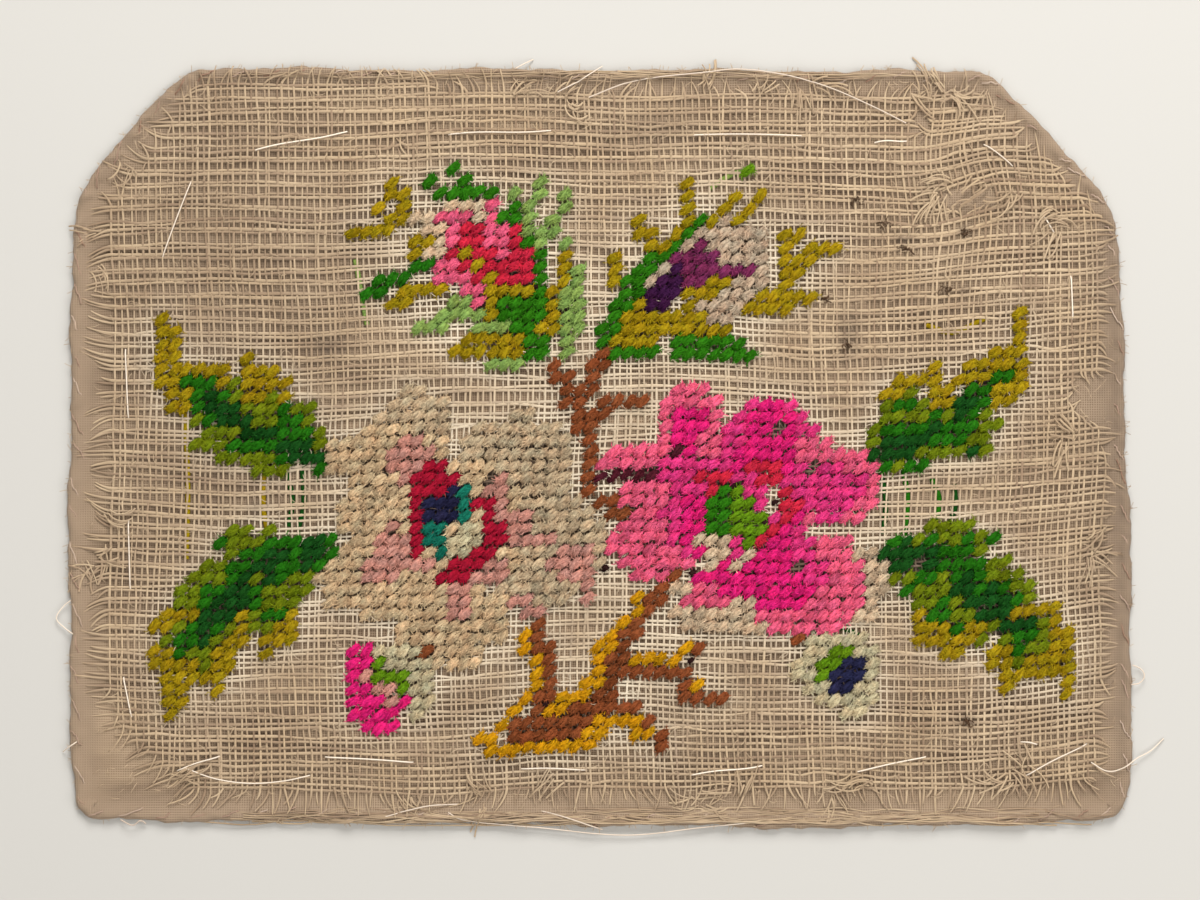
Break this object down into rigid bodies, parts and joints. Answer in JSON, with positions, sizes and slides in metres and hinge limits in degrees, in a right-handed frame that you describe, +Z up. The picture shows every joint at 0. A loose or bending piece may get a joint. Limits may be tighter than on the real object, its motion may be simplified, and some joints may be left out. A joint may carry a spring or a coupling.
{
  "type": "needlework sampler",
  "caption": "Flat needlework sampler with slanted top corners: wool flowers in canvas stitch on open canvas, laid on a fine lining cloth with a turned rim.",
  "frame": {"origin": "centre of the underside, on the surface that the sampler lies on", "axes": "+X to the right across the width, +Y towards the edge whose corners are slanted, +Z up out of the worked face"},
  "size_m": [0.2776, 0.199, 0.0037],
  "materials": {
    "lining_cloth": "matt, fine plain weave, aged tan",
    "canvas_thread": "matt, open double-thread canvas, aged cream",
    "wool": "soft plied wool in many dyed colours",
    "sewing_thread": "fine twisted sewing thread"
  },
  "bodies": {
    "root": {"lining": "lining_cloth", "canvas": "canvas_thread"}
  },
  "joints": []
}
